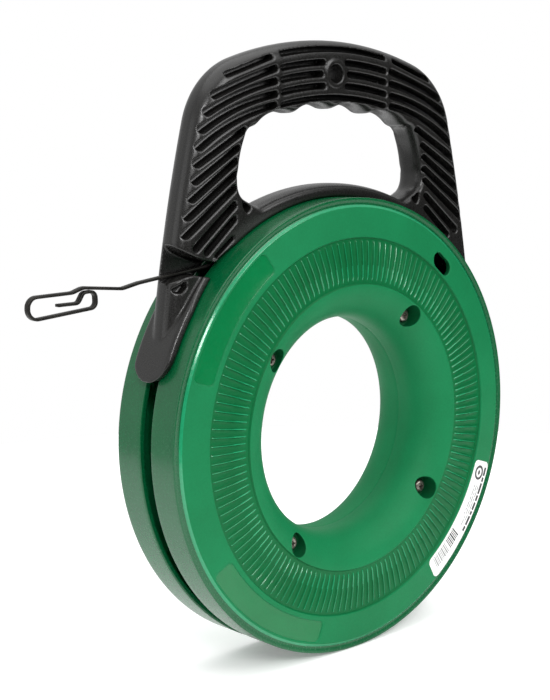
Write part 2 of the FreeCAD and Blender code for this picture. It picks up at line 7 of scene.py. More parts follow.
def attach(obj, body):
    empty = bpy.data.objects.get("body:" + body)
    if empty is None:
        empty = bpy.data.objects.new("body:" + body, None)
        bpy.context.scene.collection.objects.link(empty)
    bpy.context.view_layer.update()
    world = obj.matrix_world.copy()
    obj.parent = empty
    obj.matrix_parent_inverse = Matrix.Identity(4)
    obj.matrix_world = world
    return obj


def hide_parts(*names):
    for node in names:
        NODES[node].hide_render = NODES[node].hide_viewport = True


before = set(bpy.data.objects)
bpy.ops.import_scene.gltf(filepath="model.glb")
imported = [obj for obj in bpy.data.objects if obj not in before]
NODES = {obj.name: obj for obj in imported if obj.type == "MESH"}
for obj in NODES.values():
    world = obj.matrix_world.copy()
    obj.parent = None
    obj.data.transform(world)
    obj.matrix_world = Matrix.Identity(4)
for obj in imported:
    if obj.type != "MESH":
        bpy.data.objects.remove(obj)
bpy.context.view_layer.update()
MM = 0.001
TAU = 2 * math.pi


# ------------------------------------------------------------------ mesh helpers

def make_mesh(name, verts, faces, smooth=35.0):
    """Object from points in millimetres."""
    me = bpy.data.meshes.new(name)
    me.from_pydata([(x * MM, y * MM, z * MM) for x, y, z in verts], [], faces)
    me.validate()
    ob = bpy.data.objects.new(name, me)
    bpy.context.scene.collection.objects.link(ob)
    fix_normals(ob)
    if smooth:
        shade(ob, smooth)
    return ob


def fix_normals(ob):
    bm = bmesh.new()
    bm.from_mesh(ob.data)
    bmesh.ops.recalc_face_normals(bm, faces=bm.faces)
    bm.to_mesh(ob.data)
    bm.free()


def shade(ob, angle):
    ob.data.shade_smooth()
    ob.data.set_sharp_from_angle(angle=math.radians(angle))


def at(r, a, s, side):
    """Point at radius r and angle a (radians), s mm out from the parting plane."""
    return (r * math.cos(a), side * s, r * math.sin(a))


def apply_modifiers(ob):
    dg = bpy.context.evaluated_depsgraph_get()
    me = bpy.data.meshes.new_from_object(ob.evaluated_get(dg))
    ob.modifiers.clear()
    ob.data = me


def cut(ob, cutter):
    m = ob.modifiers.new("cut", "BOOLEAN")
    m.operation = "DIFFERENCE"
    m.solver = "EXACT"
    m.object = cutter
    apply_modifiers(ob)
    bpy.data.objects.remove(cutter)


def solid_rings(name, rings, smooth=None):
    """Closed solid from equal rings of points, with a fan at each end."""
    n = len(rings[0])
    verts = [p for ring in rings for p in ring]
    faces = []
    for k in range(len(rings) - 1):
        for i in range(n):
            j = (i + 1) % n
            faces.append((k * n + i, k * n + j, (k + 1) * n + j, (k + 1) * n + i))
    for k in (0, len(rings) - 1):
        c = [sum(p[q] for p in rings[k]) / n for q in range(3)]
        verts.append(tuple(c))
        m = len(verts) - 1
        for i in range(n):
            faces.append((k * n + i, k * n + (i + 1) % n, m))
    return make_mesh(name, verts, faces, smooth)


# ------------------------------------------------------------------ reel case profile

# radii and heights are in millimetres; a height is measured out from the parting plane
HUB, FLAT, FLARE = 59.5, 5.8, 21.0
CX = HUB + FLARE
BAND_IN, BAND_OUT, RING = 78.4, 104.0, 120.2
FLARE_TOP, RING_TOP, RING_LOW = 26.7, 25.6, 23.5
FLOOR_LOW, FLOOR_RISE, FLOOR_SPAN = 24.10, 1.60, 22.6
RIBS = 140
RIB_SPREAD = 0.42
# spacing of the samples over one rib: close together across its crest
RIB_PLACES = (0.0, 0.04, 0.085, 0.135, 0.21, 0.5, 0.79, 0.865, 0.915, 0.96)
WELL_CIRCLE, WELL_ANGLES, WELL_R, WELL_FLOOR = 72.0, (53.0, 143.0, 233.0, 323.0), 6.2, 17.3
PANELS = ((142.0, 38.0), (234.0, 44.0))
PANEL_LO, PANEL_HI, PANEL_DEEP = 106.6, 118.8, 0.6
WINDOW_R, WINDOW_ANGLE, WINDOW_LONG, WINDOW_WIDE = 109.5, 51.0, 16.0, 9.0


def ease(t):
    """Smooth step from 0 to 1."""
    return t * t * (3 - 2 * t)


def flare_out(r):
    """Height of the flare's outer face."""
    if r >= BAND_IN:
        return FLARE_TOP
    return FLAT + math.sqrt(max(0.0, FLARE ** 2 - (CX - r) ** 2))


def ring_out(r):
    """Height of the outer ring, which is a shallow cone."""
    return RING_TOP + (RING_LOW - RING_TOP) * (r - BAND_OUT) / (RING - BAND_OUT)


def floor_out(r):
    """Floor of the ribbed band: deep at its outer edge, nearly flush at its inner edge."""
    u = min(1.0, max(0.0, (102.9 - r) / FLOOR_SPAN))
    return FLOOR_LOW + FLOOR_RISE * u ** 1.15


def rib_tall(r):
    """Height of a rib crest over the floor."""
    u = (102.4 - r) / FLOOR_SPAN
    if u <= 0 or u >= 1:
        return 0.0
    start = min(1.0, u / 0.04)
    end = min(1.0, (1 - u) / 0.14)
    return (0.70 + 0.60 * math.sin(math.pi * u)) * ease(start) * ease(end)


def outer_profile():
    """(r, s) from the parting line at the hub to the inner lip of the rim slot.

    s is None on the ribbed floor, where the height changes round the ring.
    """
    pts = [(HUB + 0.25, 0.02), (HUB + 0.06, 0.07), (HUB, 0.25), (HUB, 3.0)]
    steps = 30
    top = math.acos((CX - BAND_IN + 0.25) / FLARE)
    for k in range(steps + 1):
        a = top * k / steps
        pts.append((CX - FLARE * math.cos(a), FLAT + FLARE * math.sin(a)))
    pts += [(BAND_IN + 0.05, 26.66), (BAND_IN + 0.28, 26.45), (BAND_IN + 0.42, 26.15)]
    first = len(pts)
    radii = [79.15, 79.6, 80.1, 80.5, 81.0, 81.6, 82.4, 83.4, 84.6]
    radii += [86.0 + 1.45 * k for k in range(10)]
    radii += [100.2, 100.9, 101.3, 101.55, 101.75, 102.1, 102.6, 103.0]
    pts += [(r, None) for r in radii]
    last = len(pts) - 1
    pts += [(103.25, 24.16), (103.5, 24.42), (103.7, 24.85), (103.85, 25.25), (104.02, 25.5),
            (104.3, 25.56)]
    pts += [(r, ring_out(r)) for r in (104.8, 106.0, 109.0, 112.0, 115.0, 117.5, 119.2, 119.6)]
    # groove inside the rim, rounded rim, outer wall, lip of the slot
    pts += [(119.9, 23.48), (120.2, 23.28), (120.55, 22.98), (120.9, 22.68), (121.2, 22.45),
            (121.5, 22.32), (121.9, 22.30), (122.4, 22.42), (123.4, 22.72), (124.3, 22.98),
            (124.6, 22.99), (124.83, 22.9), (124.97, 22.68), (125.0, 22.4), (125.0, 20.0),
            (125.0, 14.0), (125.0, 8.0), (125.0, 5.35), (124.96, 5.0), (124.8, 4.66),
            (124.5, 4.45), (124.1, 4.4), (122.4, 4.4)]
    return pts, first, last


def half_shell(name, side):
    """One case half: rings of points joined by quads, with finer rings over the ribbed band."""
    outer, first, last = outer_profile()
    inner = [(122.4, 19.4), (120.6, 20.9), (106.0, 22.6), (79.4, 22.6), (79.4, 0.02)]
    coarse, fine = RIBS * 2, RIBS * len(RIB_PLACES)
    verts, faces, rows = [], [], []

    def coarse_row(r, s):
        rows.append((len(verts), coarse))
        for k in range(coarse):
            verts.append(at(r, TAU * k / coarse, s, side))

    def fine_row(r, s):
        rows.append((len(verts), fine))
        for k in range(fine):
            rib, part = divmod(k, len(RIB_PLACES))
            place = RIB_PLACES[part]
            out = s
            if s is None:
                off = min(place, 1 - place) * TAU / RIBS * r
                out = floor_out(r) + rib_tall(r) * math.exp(-((off / RIB_SPREAD) ** 2))
            verts.append(at(r, TAU * (rib + place) / RIBS, out, side))

    for i, (r, s) in enumerate(outer):
        if first - 1 <= i <= last + 1:
            fine_row(r, s)
        else:
            coarse_row(r, s)
    for r, s in inner:
        coarse_row(r, s)
    rows.append(rows[0])
    for (p, n), (q, m) in zip(rows[:-1], rows[1:]):
        if n == m:
            for i in range(n):
                j = (i + 1) % n
                faces.append((p + i, p + j, q + j, q + i))
        else:
            # each coarse edge fans out to the fine edges beside it
            big, small = (p, q) if n > m else (q, p)
            step = fine // coarse
            half = step // 2
            for i in range(coarse):
                c0, c1 = small + i, small + (i + 1) % coarse
                arc = [big + (i * step + k) % fine for k in range(step + 1)]
                for k in range(step):
                    corner = c0 if k <= half else c1
                    faces.append((arc[k], arc[k + 1], corner))
                faces.append((arc[half + 1], c1, c0))
    return make_mesh(name, verts, faces, None)


def well_cutter(angle, side):
    """Screw well with a rounded mouth following the flare."""
    wide, floor, lip, clear = WELL_R, WELL_FLOOR, 0.55, 34.0
    a = math.radians(angle)
    x0, z0 = WELL_CIRCLE * math.cos(a), WELL_CIRCLE * math.sin(a)
    n = 96
    plan = [(wide - 0.5, floor), (wide - 0.15, floor + 0.12), (wide, floor + 0.5)]
    rings = []

    def ring(d, height):
        pts = []
        for k in range(n):
            f = TAU * k / n
            x, z = x0 + d * math.cos(f), z0 + d * math.sin(f)
            pts.append((x, side * height(x, z), z))
        rings.append(pts)

    for d, s in plan:
        ring(d, lambda x, z, s=s: s)
    for k in range(7):
        f = math.pi / 2 * k / 6
        drop = lip * (1 - math.sin(f))
        ring(wide + lip * (1 - math.cos(f)),
             lambda x, z, drop=drop: flare_out(math.hypot(x, z)) - drop)
    ring(wide + lip + 0.06, lambda x, z: flare_out(math.hypot(x, z)) + 0.05)
    ring(wide + lip + 0.06, lambda x, z: clear)
    return solid_rings("cutter", rings)


def oval_outline(r, mid, long, wide, grow, n=16):
    """Round-ended slot along a circle: list of (radius, angle)."""
    h = wide / 2 + grow
    straight = (long - wide) / 2
    pts = []
    for k in range(n + 1):
        f = -math.pi / 2 + math.pi * k / n
        pts.append((r + h * math.sin(f), mid + (straight + h * math.cos(f)) / r))
    for k in range(n + 1):
        f = math.pi / 2 + math.pi * k / n
        pts.append((r + h * math.sin(f), mid + (-straight + h * math.cos(f)) / r))
    return pts


def window_cutter(side):
    """Oblong hole through the ring, with a rounded mouth."""
    mid, inside = math.radians(WINDOW_ANGLE), 12.0
    outline = oval_outline(WINDOW_R, mid, WINDOW_LONG, WINDOW_WIDE, 0.0)
    rings = [[at(r, a, inside, side) for r, a in outline]]
    mouth = ((0.0, -0.6), (0.09, -0.3), (0.28, -0.09), (0.6, 0.0), (0.66, 0.06), (0.66, 6.0))
    for grow, level in mouth:
        outline = oval_outline(WINDOW_R, mid, WINDOW_LONG, WINDOW_WIDE, grow)
        rings.append([at(r, a, ring_out(r) + level, side) for r, a in outline])
    return solid_rings("cutter", rings)


def sector_outline(lo, hi, a0, a1, corner, grow, n=7, arc=40):
    """Rounded rectangle bent round the axis: list of (radius, angle)."""
    mid_r = (lo + hi) / 2
    lo, hi = lo - grow, hi + grow
    a0, a1 = a0 - grow / mid_r, a1 + grow / mid_r
    c = corner + grow
    ca = c / mid_r
    pts = []
    corners = ((lo + c, a1 - ca, -90), (hi - c, a1 - ca, 0),
               (hi - c, a0 + ca, 90), (lo + c, a0 + ca, 180))
    for cr, ca0, f0 in corners:
        for k in range(n + 1):
            f = math.radians(f0 + 90 * k / n)
            pts.append((cr + c * math.sin(f), ca0 + ca * math.cos(f)))
        if f0 in (0, 180):
            r = hi if f0 == 0 else lo
            s, e = (a1 - ca, a0 + ca) if f0 == 0 else (a0 + ca, a1 - ca)
            pts += [(r, s + (e - s) * k / arc) for k in range(1, arc)]
    return pts


def panel_cutter(mid, span, side):
    """Shallow rounded panel with softened edges, sunk in the ring."""
    a0, a1 = math.radians(mid - span / 2), math.radians(mid + span / 2)
    deep, corner = PANEL_DEEP, 3.0
    faces, rings = [], []
    for grow, level in ((-0.45, -deep), (-0.18, -deep + 0.06), (-0.02, -deep + 0.3), (0.08, -0.12),
                        (0.3, 0.0), (0.36, 0.04), (0.36, 5.0)):
        outline = sector_outline(PANEL_LO, PANEL_HI, a0, a1, corner, grow)
        rings.append([at(r, a, ring_out(r) + level, side) for r, a in outline])
    n = len(rings[0])
    verts = [p for ring in rings for p in ring]
    for k in range(len(rings) - 1):
        for i in range(n):
            j = (i + 1) % n
            faces.append((k * n + i, k * n + j, (k + 1) * n + j, (k + 1) * n + i))
    # caps: strips between the two long sides, which pair up point for point
    for base in (0, (len(rings) - 1) * n):
        for i in range(n // 2 - 1):
            faces.append((base + i, base + i + 1, base + (n - 2 - i) % n, base + (n - 1 - i) % n))
    return make_mesh("cutter", verts, faces, None)


# ------------------------------------------------------------------ materials

def new_material(name):
    m = bpy.data.materials.new(name)
    m.use_nodes = True
    t = m.node_tree
    t.nodes.clear()
    out = t.nodes.new("ShaderNodeOutputMaterial")
    sh = t.nodes.new("ShaderNodeBsdfPrincipled")
    t.links.new(sh.outputs["BSDF"], out.inputs["Surface"])
    co = t.nodes.new("ShaderNodeTexCoord")
    return m, t, sh, co


def noise(t, co, scale, detail, rough):
    n = t.nodes.new("ShaderNodeTexNoise")
    n.inputs["Scale"].default_value = scale
    n.inputs["Detail"].default_value = detail
    n.inputs["Roughness"].default_value = rough
    t.links.new(co.outputs["Object"], n.inputs["Vector"])
    return n


def ramp(t, source, low, dark, high, light):
    """Colour that goes from dark at the low value to light at the high one."""
    r = t.nodes.new("ShaderNodeValToRGB")
    e = r.color_ramp.elements
    e[0].position, e[0].color = low, (*dark, 1.0)
    e[1].position, e[1].color = high, (*light, 1.0)
    t.links.new(source, r.inputs["Fac"])
    return r


def spread(t, source, low, high, lo=0.35, hi=0.65):
    m = t.nodes.new("ShaderNodeMapRange")
    m.inputs["From Min"].default_value = lo
    m.inputs["From Max"].default_value = hi
    m.inputs["To Min"].default_value = low
    m.inputs["To Max"].default_value = high
    t.links.new(source, m.inputs["Value"])
    return m


def bump(t, sh, layers):
    """Chain of bumps, each (height socket, strength, distance in mm)."""
    last = None
    for source, strength, distance in layers:
        b = t.nodes.new("ShaderNodeBump")
        b.inputs["Strength"].default_value = strength
        b.inputs["Distance"].default_value = distance * MM
        t.links.new(source, b.inputs["Height"])
        if last:
            t.links.new(last.outputs["Normal"], b.inputs["Normal"])
        last = b
    t.links.new(last.outputs["Normal"], sh.inputs["Normal"])


def plastic(name, dark, light, rough, grain, grain_scale, specular=0.5):
    m, t, sh, co = new_material(name)
    broad = noise(t, co, 28.0, 4.0, 0.55)
    fine = noise(t, co, 900.0, 2.0, 0.6)
    pores = noise(t, co, grain_scale, 3.0, 0.6)
    tone = t.nodes.new("ShaderNodeMix")
    tone.data_type = "FLOAT"
    tone.inputs[0].default_value = 0.35
    t.links.new(broad.outputs["Fac"], tone.inputs[2])
    t.links.new(fine.outputs["Fac"], tone.inputs[3])
    col = ramp(t, tone.outputs[0], 0.35, dark, 0.65, light)
    t.links.new(col.outputs["Color"], sh.inputs["Base Color"])
    rr = spread(t, pores.outputs["Fac"], rough - 0.05, rough + 0.06)
    t.links.new(rr.outputs["Result"], sh.inputs["Roughness"])
    bump(t, sh, [(pores.outputs["Fac"], grain, 0.05), (broad.outputs["Fac"], 0.12, 0.3)])
    sh.inputs["Specular IOR Level"].default_value = specular
    return m


# each: dark and light colour, roughness, grain depth, grain scale, specular level
GREEN = plastic("green_case_plastic", (0.0010, 0.145, 0.047),
                (0.0020, 0.178, 0.060), 0.56, 0.26, 1500.0, 0.20)
GLOSSY = plastic("green_polished_plastic", (0.0010, 0.135, 0.038),
                 (0.0016, 0.160, 0.047), 0.20, 0.04, 700.0, 0.40)
# painted shade: near-black green put on the walls of the screw wells and of the window, where shade
# falls
RECESS_SHADE_PAINT = plastic("green_painted_recess_shade", (0.0006, 0.060, 0.018),
               (0.0010, 0.075, 0.023), 0.45, 0.10, 700.0, 0.15)
# painted highlight: light green put on the rib crests and on the chamfer at the ring's outer edge, in
# place of light caught there
CREST_HIGHLIGHT_PAINT = plastic("green_painted_highlight", (0.008, 0.230, 0.095),
                (0.016, 0.300, 0.130), 0.17, 0.04, 700.0, 0.6)
# painted shade: darker green all round the rim, which the lamps light less than the face; its low
# roughness is the polished finish
RIM_SHADE_PAINT = plastic("green_rim_painted_shade", (0.0006, 0.078, 0.024),
              (0.0011, 0.098, 0.031), 0.24, 0.05, 700.0, 0.45)
# painted shade: darker green on the floor between the ribs, where shade falls between them
VALLEY_SHADE_PAINT = plastic("green_valley_painted_shade", (0.0006, 0.105, 0.029),
                 (0.0011, 0.128, 0.038), 0.42, 0.05, 700.0, 0.16)
BLACK = plastic("black_handle_plastic", (0.0060, 0.0058, 0.0054),
                (0.0085, 0.0082, 0.0076), 0.30, 0.10, 1300.0)


def metal(name, dark, light, rough):
    m, t, sh, co = new_material(name)
    broad = noise(t, co, 90.0, 4.0, 0.6)
    fine = noise(t, co, 2200.0, 3.0, 0.6)
    col = ramp(t, broad.outputs["Fac"], 0.35, dark, 0.66, light)
    t.links.new(col.outputs["Color"], sh.inputs["Base Color"])
    sh.inputs["Metallic"].default_value = 0.9
    rr = spread(t, fine.outputs["Fac"], rough - 0.07, rough + 0.09)
    t.links.new(rr.outputs["Result"], sh.inputs["Roughness"])
    bump(t, sh, [(fine.outputs["Fac"], 0.15, 0.03)])
    return m


TAPE = metal("tape_spring_steel", (0.018, 0.0175, 0.016), (0.034, 0.033, 0.030), 0.42)
SCREW = metal("screw_dark_steel", (0.16, 0.145, 0.125), (0.30, 0.27, 0.235), 0.34)
NUT = metal("nut_plated_steel", (0.30, 0.29, 0.27), (0.46, 0.45, 0.42), 0.32)


def film(name, dark, light, rough):
    m, t, sh, co = new_material(name)
    broad = noise(t, co, 60.0, 3.0, 0.5)
    fine = noise(t, co, 1800.0, 2.0, 0.5)
    col = ramp(t, broad.outputs["Fac"], 0.3, dark, 0.7, light)
    t.links.new(col.outputs["Color"], sh.inputs["Base Color"])
    rr = spread(t, fine.outputs["Fac"], rough - 0.05, rough + 0.05)
    t.links.new(rr.outputs["Result"], sh.inputs["Roughness"])
    bump(t, sh, [(fine.outputs["Fac"], 0.06, 0.02)])
    return m


PAPER = film("label_white_film", (0.80, 0.80, 0.79), (0.86, 0.86, 0.855), 0.42)
INK = film("label_dark_print", (0.020, 0.020, 0.020), (0.034, 0.034, 0.034), 0.5)
GREYINK = film("label_grey_print", (0.22, 0.22, 0.22), (0.30, 0.30, 0.30), 0.5)


def dress(ob, material, slot, body, *nodes):
    """Give a piece its finish and its body, and hide the CAD nodes it stands for; the slot argument
    is not used.
    """
    ob.data.materials.clear()
    ob.data.materials.append(material)
    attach(ob, body)
    if nodes:
        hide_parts(*nodes)


# ------------------------------------------------------------------ reel case

# the case's textured and polished finishes, then colours with painted shade and a painted highlight
FINISHES_AND_PAINTED_LIGHT = (GREEN, GLOSSY, RECESS_SHADE_PAINT, CREST_HIGHLIGHT_PAINT, RIM_SHADE_PAINT, VALLEY_SHADE_PAINT)
TEXTURED, POLISHED, PAINTED_RECESS_SHADE, PAINTED_HIGHLIGHT, PAINTED_RIM_SHADE, PAINTED_VALLEY_SHADE = range(len(FINISHES_AND_PAINTED_LIGHT))


def finish_or_painted_light_of(centre, side):
    """Which finish, painted shade or painted highlight a point of the case gets."""
    r, s = math.hypot(centre.x, centre.z) / MM, side * centre.y / MM
    turn = math.degrees(math.atan2(centre.z, centre.x))
    # painted shade on the walls of the screw wells
    for angle in WELL_ANGLES:
        a = math.radians(angle)
        x0, z0 = WELL_CIRCLE * math.cos(a), WELL_CIRCLE * math.sin(a)
        away = math.hypot(centre.x / MM - x0, centre.z / MM - z0)
        if away < WELL_R + 0.05 and s < flare_out(r) - 0.5:
            return PAINTED_RECESS_SHADE
    # painted shade on the walls of the window in the front half
    aside = abs(turn - WINDOW_ANGLE) * TAU / 360 * WINDOW_R
    inside = abs(r - WINDOW_R) < WINDOW_WIDE / 2 + 0.4 and aside < WINDOW_LONG / 2 + 0.6
    if side < 0 and inside and s < ring_out(r) - 0.3:
        return PAINTED_RECESS_SHADE
    if BAND_IN + 0.1 < r < BAND_OUT - 0.3 and s > 20:
        rib = turn * RIBS / 360
        off = abs(rib - round(rib)) * TAU / RIBS * r
        # painted highlight on the rib crests, painted shade on the floor between them
        return PAINTED_HIGHLIGHT if off < 0.25 and rib_tall(r) > 0.3 else PAINTED_VALLEY_SHADE
    # on the rim: painted highlight on the chamfer of the ring's edge, painted shade on the rest
    if r > 119.85:
        return PAINTED_HIGHLIGHT if r < 121.2 and s > 22.2 else PAINTED_RIM_SHADE
    for mid, span in PANELS:
        aside = abs((turn - mid + 180) % 360 - 180)
        if PANEL_LO < r < PANEL_HI and aside < span / 2 and s < ring_out(r) - PANEL_DEEP + 0.1:
            return POLISHED
    return TEXTURED


def build_half(name, side, node):
    ob = half_shell(name, side)
    for angle in WELL_ANGLES:
        cut(ob, well_cutter(angle, side))
    if side < 0:
        cut(ob, window_cutter(side))
    for mid, span in PANELS:
        cut(ob, panel_cutter(mid, span, side))
    shade(ob, 32.0)
    dress(ob, GREEN, "case_plastic", "reel", node)
    for material in FINISHES_AND_PAINTED_LIGHT[1:]:
        ob.data.materials.append(material)
    # each face gets its finish, painted shade or painted highlight
    for face in ob.data.polygons:
        face.material_index = finish_or_painted_light_of(face.center, side)


build_half("case_front_shell", -1, "front_case_half")
build_half("case_rear_shell", 1, "rear_case_half")


def gate_mark(name, angle, s):
    """Small round vestige left by a moulding pin on the hub wall."""
    a = math.radians(angle)
    verts, faces, n = [], [], 20
    for r, h in ((0.95, -0.1), (0.9, 0.12), (0.6, 0.26), (0.25, 0.3)):
        for k in range(n):
            f = TAU * k / n
            across, along = r * math.cos(f), r * math.sin(f)
            q = HUB - h
            verts.append((q * math.cos(a) - across * math.sin(a), s + along,
                          q * math.sin(a) + across * math.cos(a)))
    for j in range(3):
        for k in range(n):
            faces.append((j * n + k, j * n + (k + 1) % n, (j + 1) * n + (k + 1) % n, (j + 1) * n + k))
    faces.append(tuple(range(3 * n, 4 * n)))
    faces.append(tuple(range(n)))
    dress(make_mesh(name, verts, faces, 50), GREEN, "case_plastic", "reel")


gate_mark("case_pin_mark_1", -38.8, 1.1)
gate_mark("case_pin_mark_3", 55.2, 1.1)


# ------------------------------------------------------------------ handle from its CAD shape

def cad_copy(node, name, flat):
    """Copy of a CAD piece with its flat faces made whole, and its open edit mesh."""
    me = NODES[node].data.copy()
    ob = bpy.data.objects.new(name, me)
    bpy.context.scene.collection.objects.link(ob)
    bm = bmesh.new()
    bm.from_mesh(me)
    bmesh.ops.remove_doubles(bm, verts=bm.verts, dist=2e-6)
    bmesh.ops.dissolve_limit(bm, angle_limit=math.radians(flat), verts=bm.verts, edges=bm.edges)
    bmesh.ops.recalc_face_normals(bm, faces=bm.faces)
    return ob, bm


def refined_copy(node, name, width, segments, angle):
    """The CAD shape with its sharp edges bevelled."""
    ob, bm = cad_copy(node, name, 0.6)
    bm.to_mesh(ob.data)
    bm.free()
    m = ob.modifiers.new("edge", "BEVEL")
    m.width = width * MM
    m.segments = segments
    m.limit_method = "ANGLE"
    m.angle_limit = math.radians(angle)
    m.miter_outer = "MITER_ARC"
    apply_modifiers(ob)
    shade(ob, 38.0)
    return ob


# the handle's front and rear faces, the foot of its opening, and the rounding of the opening's edges
HANDLE_FACE, OPENING_FOOT = 9.5, 132.4
ROUND_ACROSS, ROUND_DEEP = 3.6, 7.5


def opening_loop(bm):
    """Ordered (x, z) outline of the hand opening, in mm, read from the front face."""
    def on_face(v):
        return abs(v.co.y / MM + HANDLE_FACE) < 0.01

    rim = {}
    for e in bm.edges:
        if len(e.link_faces) == 2 and on_face(e.verts[0]) and on_face(e.verts[1]):
            tilt = sorted(abs(f.normal.y) for f in e.link_faces)
            if tilt[0] < 0.2 and tilt[1] > 0.9:
                for v in e.verts:
                    rim.setdefault(v, []).append(e.other_vert(v))
    start = min(rim, key=lambda v: math.hypot(v.co.x / MM, v.co.z / MM - OPENING_FOOT))
    loop, last, here = [start], None, start
    while True:
        nxt = [v for v in rim[here] if v is not last][0]
        if nxt is start:
            return [(v.co.x / MM, v.co.z / MM) for v in loop]
        loop.append(nxt)
        last, here = here, nxt


def even_loop(pts, count):
    """The closed outline again, with points the same distance apart."""
    n = len(pts)
    lengths = [math.dist(pts[i], pts[(i + 1) % n]) for i in range(n)]
    total, out, i, run = sum(lengths), [], 0, 0.0
    for k in range(count):
        want = total * k / count
        while run + lengths[i] < want:
            run += lengths[i]
            i += 1
        t = (want - run) / lengths[i]
        p, q = pts[i], pts[(i + 1) % n]
        out.append((p[0] + (q[0] - p[0]) * t, p[1] + (q[1] - p[1]) * t))
    return out


def relaxed(pts, passes):
    """The closed outline, smoothed."""
    n = len(pts)
    for _ in range(passes):
        pts = [tuple((pts[i - 1][q] + 2 * pts[i][q] + pts[(i + 1) % n][q]) / 4 for q in (0, 1))
               for i in range(n)]
    return pts


def opening_cutter(pts, across, deep):
    """Bell-mouthed plug that rounds the edges of the hand opening over to both faces."""
    pts = relaxed(even_loop(pts, 420), 4)
    n = len(pts)
    wide = relaxed(pts, 120)
    ways = []
    for i in range(n):
        tx, tz = wide[(i + 1) % n][0] - wide[i - 1][0], wide[(i + 1) % n][1] - wide[i - 1][1]
        size = math.hypot(tx, tz)
        ways.append((tz / size, -tx / size))
    # point the offsets away from the middle of the opening
    area = sum(pts[i - 1][0] * pts[i][1] - pts[i][0] * pts[i - 1][1] for i in range(n))
    sign = 1 if area > 0 else -1
    levels = []
    for k in range(9):
        f = math.pi / 2 * k / 8
        levels.append((HANDLE_FACE - deep + deep * math.sin(f), across * (1 - math.cos(f))))
    levels.append((HANDLE_FACE + 2.0, across))
    levels = [(-y, d) for y, d in reversed(levels)] + levels
    rings = []
    for y, d in levels:
        grow = sign * (d + 0.04)
        rings.append([(p[0] + w[0] * grow, y, p[1] + w[1] * grow) for p, w in zip(pts, ways)])
    return solid_rings("cutter", rings)


def moulded_copy(node, name, voxel, passes, keep):
    """The CAD shape with every edge rounded over as it leaves a mould."""
    ob, bm = cad_copy(node, name, 0.5)
    loop = opening_loop(bm)
    bm.to_mesh(ob.data)
    bm.free()
    cut(ob, opening_cutter(loop, ROUND_ACROSS, ROUND_DEEP))
    m = ob.modifiers.new("voxels", "REMESH")
    m.mode = "VOXEL"
    m.voxel_size = voxel * MM
    apply_modifiers(ob)
    m = ob.modifiers.new("soften", "SMOOTH")
    m.factor = 0.5
    m.iterations = passes
    apply_modifiers(ob)
    m = ob.modifiers.new("thin", "DECIMATE")
    m.ratio = keep
    apply_modifiers(ob)
    ob.data.shade_smooth()
    return ob


handle = moulded_copy("handle", "handle_moulding", 0.4, 22, 0.5)
dress(handle, BLACK, "handle_plastic", "grip_frame", "handle")
tape = refined_copy("tape_leader", "tape_leader_strip", 0.3, 2, 40)
dress(tape, TAPE, "tape_steel", "leader", "tape_leader")


# ------------------------------------------------------------------ sticker

def sector_sheet(name, lo, hi, a0, a1, corner, lift, thick, material, columns=80, rows=4):
    """Thin sheet bent over the ring face, with rounded corners."""
    mid_r = (lo + hi) / 2
    length = (a1 - a0) * mid_r
    ds = [corner * (1 - math.cos(math.pi / 2 * k / 8)) for k in range(9)]
    inner = [corner + (length - 2 * corner) * k / columns for k in range(1, columns)]
    ds = ds + inner + [length - d for d in reversed(ds)]
    verts, faces = [], []
    for layer in (0, 1):
        for d in ds:
            e = min(d, length - d)
            cut_in = 0.0
            if e < corner:
                cut_in = corner - math.sqrt(max(0.0, corner ** 2 - (corner - e) ** 2))
            for j in range(rows + 1):
                r = lo + cut_in + (hi - lo - 2 * cut_in) * j / rows
                verts.append(at(r, a0 + d / mid_r, ring_out(r) + lift + thick * layer, -1))
    w, n = rows + 1, len(ds)
    for layer in (0, 1):
        base = layer * n * w
        for i in range(n - 1):
            for j in range(rows):
                faces.append((base + i * w + j, base + i * w + j + 1, base + (i + 1) * w + j + 1,
                              base + (i + 1) * w + j))
    top = n * w
    for i in range(n - 1):
        for j in (0, rows):
            faces.append((i * w + j, (i + 1) * w + j, top + (i + 1) * w + j, top + i * w + j))
    for i in (0, n - 1):
        for j in range(rows):
            faces.append((i * w + j, i * w + j + 1, top + i * w + j + 1, top + i * w + j))
    ob = make_mesh(name, verts, faces, 40)
    ob.data.materials.append(material)
    return ob


# the sticker's lower and upper ends, its middle radius, and the height of its face over the ring
LAB0, LAB1 = math.radians(-56.4), math.radians(-18.4)
LAB_R, LAB_FACE = 112.4, 0.25
sticker = sector_sheet("label_sheet", 105.2, 119.6, LAB0, LAB1, 3.2, 0.02, 0.22, PAPER)
dress(sticker, PAPER, "label_film", "reel", "case_label")


def join(name, obs, material):
    """One printed piece on the sticker from many patches."""
    bm = bmesh.new()
    for o in obs:
        bm.from_mesh(o.data)
    me = bpy.data.meshes.new(name)
    bm.to_mesh(me)
    bm.free()
    for o in obs:
        bpy.data.objects.remove(o)
    ob = bpy.data.objects.new(name, me)
    bpy.context.scene.collection.objects.link(ob)
    fix_normals(ob)
    ob.data.materials.append(material)
    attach(ob, "reel")


def mark(lo, hi, start, end, material, corner=0.12):
    """Printed patch between two distances (mm) along the sticker from its upper end."""
    a1, a0 = LAB1 - start / LAB_R, LAB1 - end / LAB_R
    return sector_sheet("m", lo, hi, a0, a1, corner, 0.245, 0.03, material, 6, 2)


dark, mid = [], []
# oval badge with a plain mark inside
badge_r = 111.6
badge_a = LAB1 - 7.2 / badge_r
outline = oval_outline(badge_r, badge_a, 8.8, 8.6, 0.0, 12)
hole = oval_outline(badge_r, badge_a, 5.8, 5.4, 0.0, 12)
verts = [at(r, a, ring_out(r) + LAB_FACE, -1) for r, a in outline + hole]
count = len(outline)
faces = [(i, (i + 1) % count, count + (i + 1) % count, count + i) for i in range(count)]
dark.append(make_mesh("m", verts, faces, None))
dark.append(mark(110.6, 112.6, 5.8, 8.6, INK, 0.9))
